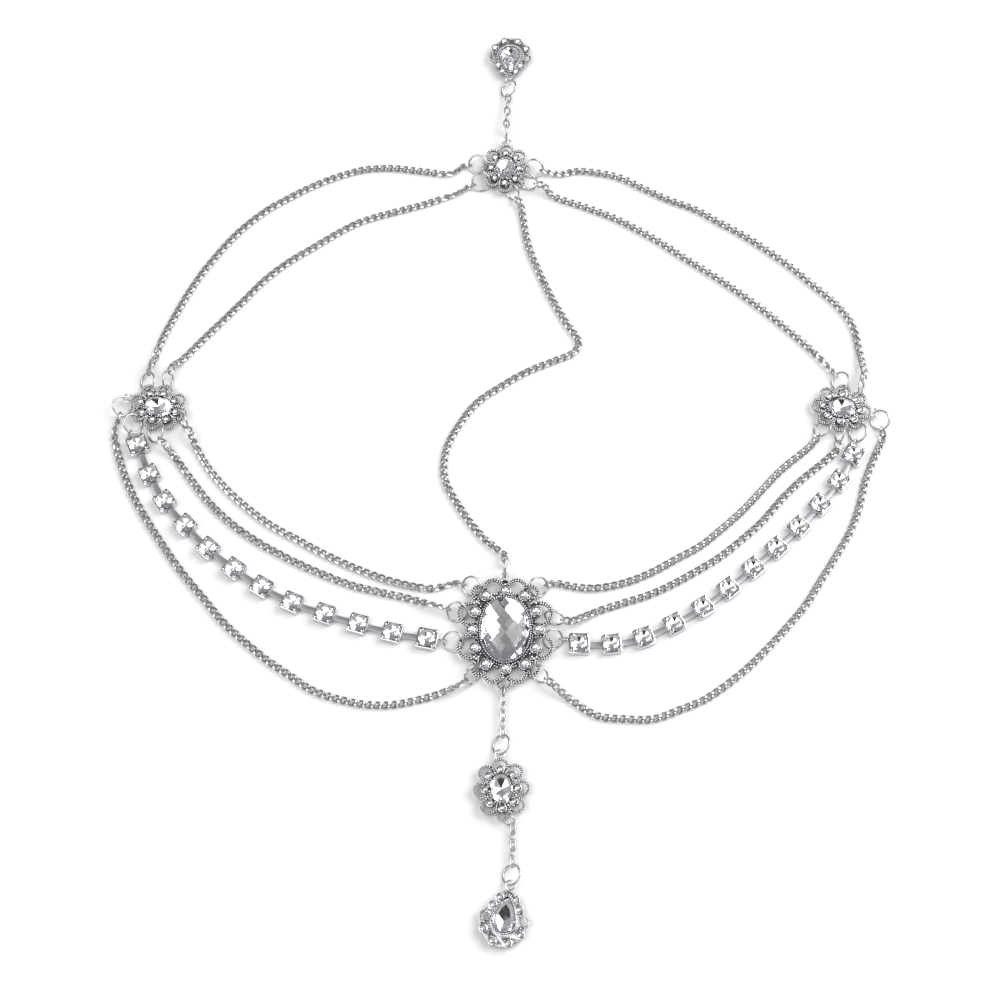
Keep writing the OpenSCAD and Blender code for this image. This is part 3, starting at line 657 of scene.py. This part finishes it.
# Single grains between the lobes
grains = {
    "centre": [(x * sx, y * sy) for x, y in ((7.7, 8.1), (8.4, 7.7), (7.1, 7.6)) for sx, sy in quarters]
    + [(0, 13.1)],
    "flower": eightRound(3.95, 4.75, 112.5),
    "drop": [],
}


def outlinePath(outline, steps=72):
    return [outline(math.tau * i / steps) for i in range(steps + 1)]


# The crest of the wall round each main stone, and the rows of beads outside it
bezels = {
    "centre": outlinePath(ovalOutline(6.93, 9.43)),
    "flower": outlinePath(ovalOutline(3.3, 4.3)),
    "drop": outlinePath(pearOutline(3.3, 6.45, 3.3, 0.4)),
}
braids = {
    "centre": [outlinePath(ovalOutline(7.5, 10))],
    "flower": [outlinePath(ovalOutline(3.75, 4.75))],
    "drop": [outlinePath(pearOutline(5.55, 7.85, 6.15, 0.45)), outlinePath(pearOutline(3.95, 7, 4, 0.4))],
}


def circlePath(x, y, radius):
    return [Vector((x, y, 0)) + point for point in outlinePath(ovalOutline(radius, radius))]


# The corners of the oval links, which the beads keep clear of
linkCorners = [corner for node in shortChains for part in looseParts(node) for corner in part]
linkTree = KDTree(len(linkCorners))
for i, corner in enumerate(linkCorners):
    linkTree.insert(corner, i)
linkTree.balance()


# A bead goes in where it is clear of the beads already there, of the rings and of the oval links
def addBead(done, place, point, size):
    middle = place @ point
    if any((middle - other).length < (size + width) / 2 * beading["crowd"] for other, width in done):
        return
    if any(offRing(ring, middle) < (ring["wire"] + size) / 2 + beading["clear"] for ring in rings):
        return
    if linkTree.find(middle)[2] < size / 2 + 2 * beading["clear"]:
        return
    done.append((middle, size))


def addRow(done, place, path, height, size, keepOff=lambda point: False):
    pointAt, length = walk(path)
    count = round(length / (size * beading["spacing"]))
    for i in range(count):
        point = pointAt(length * i / count)
        if not keepOff(point):
            addBead(done, place, Vector((point.x, point.y, height)), size)


# The beads of a casting: middle and size of each. The seats are those of its small stones
def beadsOf(kind, place, seats):
    stone, width = kinds[kind]["stone"], kinds[kind]["bead"]
    half = max(point.x for point in bezels[kind])
    up, down = max(point.y for point in bezels[kind]), -min(point.y for point in bezels[kind])

    def nearSeat(point, reach):
        return any((point.xy - seat.xy).length < reach for seat in seats)

    def onStone(point):
        return nearSeat(point, stone + beading["rim"] / 2)

    def onSeat(point):
        return nearSeat(point, stone + beading["seatWall"] + width * beading["seatClear"])

    def onSeatOrBezel(point):
        inside = math.hypot(point.x / half, point.y / (up if point.y > 0 else down))
        return inside < beading["bezelShare"] or onSeat(point)

    done = []
    addRow(done, place, bezels[kind], beading["bezelTop"], beading["rim"], onStone)
    # Four prong grains hold each small stone
    for seat in seats:
        for k in range(4):
            turn = math.radians(45 + 90 * k) + math.atan2(seat.y, seat.x)
            out = Vector((math.cos(turn), math.sin(turn), 0)) * (stone + beading["prongOut"])
            addBead(done, place, Vector((seat.x, seat.y, beading["seatTop"])) + out, beading["prong"])
    for x, y in grains[kind]:
        addBead(done, place, Vector((x, y, beading["lobeTop"])), beading["grain"])
    for path in braids[kind]:
        addRow(done, place, path, beading["lobeTop"], width, onSeat)
    for x, y, radius, band in lobes[kind]:
        for off in kinds[kind]["rows"]:
            path = circlePath(x, y, radius - band / 2 + off)
            addRow(done, place, path, beading["lobeTop"], width, onSeatOrBezel)
    return done


def castingPiece(name, kind, node, accents):
    place = onCasting(name)
    done = beadsOf(kind, place, [place.inverted() @ boxMiddle(points) for points in looseParts(accents)])
    bm = softened(node, beading["edge"])
    # The bail and the tops of the seats are polished, the rest is ground, painted darker as shade
    bail = place @ Vector((0, kinds[kind]["bail"], 0))
    for face in bm.faces:
        middle = face.calc_center_median()
        onBail = (middle.xy - bail.xy).length < beading["bailReach"]
        seatTop = face.normal.z > 0.5 and abs(middle.z - beading["seatTop"]) < beading["level"]
        face.material_index = 0 if onBail or seatTop else 1
    joinCopies(bm, bead, [Matrix.Translation(middle) @ Matrix.Scale(size, 4) for middle, size in done])
    metals = [castMetal, kinds[kind]["ground"]]
    newPiece(node.replace("setting", "casting"), bm, metals, [node], beading["smooth"])
    return len(done)


bm = bmesh.new()
bmesh.ops.create_uvsphere(bm, u_segments=beading["segments"], v_segments=beading["rings"], radius=0.5)
bead = template(bm, "bead")
beads = castingPiece("centre", "centre", "centre_setting", "centre_accent_stones")
for name in ("left", "right", "back", "front"):
    beads += castingPiece(name, "flower", name + "_flower_setting", name + "_flower_accents")
for name in ("front_drop", "back_drop"):
    beads += castingPiece(name, "drop", name + "_setting", name + "_accents")
print("castings made, with", beads, "beads")

# Studio: a white floor in a light tent, soft boxes at the right and overhead at the left, a greyer roof
# behind, and the dark gap in the tent that it is looked at through. Sizes are in metres, power in watts
studio = {"floor": 3, "roofAt": (0, 0.6, 0.8), "roofFrom": 0.55, "roofTo": 1, "wall": 0.46, "roof": 0.29,
          "darkAt": (0, -0.342, 0.94), "darkFrom": 0.95, "darkTo": 0.975, "dark": 0.04, "bounces": 16}
softBoxes = {
    "right_box": {"at": (0.8, 0.3, 0.95), "size": 1.15, "power": 12},
    "left_box": {"at": (-0.45, -0.25, 1.15), "size": 0.95, "power": 6},
}


def addLight(name, at, size, power):
    data = bpy.data.lights.new(name, "AREA")
    data.shape = "DISK"
    data.size = size
    data.energy = power
    light = bpy.data.objects.new(name, data)
    light.location = at
    light.rotation_euler = Vector(at).to_track_quat("Z", "Y").to_euler()
    bpy.context.scene.collection.objects.link(light)


def layFloor():
    bm = bmesh.new()
    bmesh.ops.create_grid(bm, x_segments=1, y_segments=1, size=studio["floor"])
    mesh = bpy.data.meshes.new("floor")
    bm.to_mesh(mesh)
    bm.free()
    # Matt white paper sweep
    finish = {"Base Color": toLinear("#FAFAFA"), "Roughness": 0.9, "Specular IOR Level": 0.1}
    mesh.materials.append(startMaterial("matt_white_paper", finish)[0])
    floor = bpy.data.objects.new("floor", mesh)
    bpy.context.scene.collection.objects.link(floor)


# The light tent: its brightness fades towards the roof and into the dark gap
def pitchTent():
    world = bpy.data.worlds.new("studio")
    bpy.context.scene.world = world
    world.use_nodes = True
    tree = world.node_tree
    ray = addNode(tree, "TexCoord").outputs["Generated"]
    sky = None
    for part, low, high in (("roof", studio["wall"], studio["roof"]), ("dark", 1, studio["dark"])):
        toward = addNode(tree, "VectorMath", {"operation": "DOT_PRODUCT"})
        toward.inputs[1].default_value = studio[part + "At"]
        tree.links.new(ray, toward.inputs[0])
        fade = {"interpolation_type": "SMOOTHSTEP", "From Min": studio[part + "From"],
                "From Max": studio[part + "To"], "To Min": low, "To Max": high}
        shade = addNode(tree, "MapRange", fade, {"Value": toward.outputs["Value"]}).outputs["Result"]
        if sky:
            shade = addNode(tree, "Math", {"operation": "MULTIPLY"}, {0: sky, 1: shade}).outputs[0]
        sky = shade
    tree.links.new(sky, tree.nodes["Background"].inputs["Strength"])
    tree.nodes["Background"].inputs["Color"].default_value = toLinear("#FFFFFF")


layFloor()
for name, box in softBoxes.items():
    addLight(name, box["at"], box["size"], box["power"])
pitchTent()
bpy.context.scene.view_settings.view_transform = "Standard"
# Light bounces many times between the foil and the facets before it leaves a stone
bpy.context.scene.cycles.glossy_bounces = studio["bounces"]
bpy.context.scene.cycles.max_bounces = studio["bounces"]
print("studio dressed")
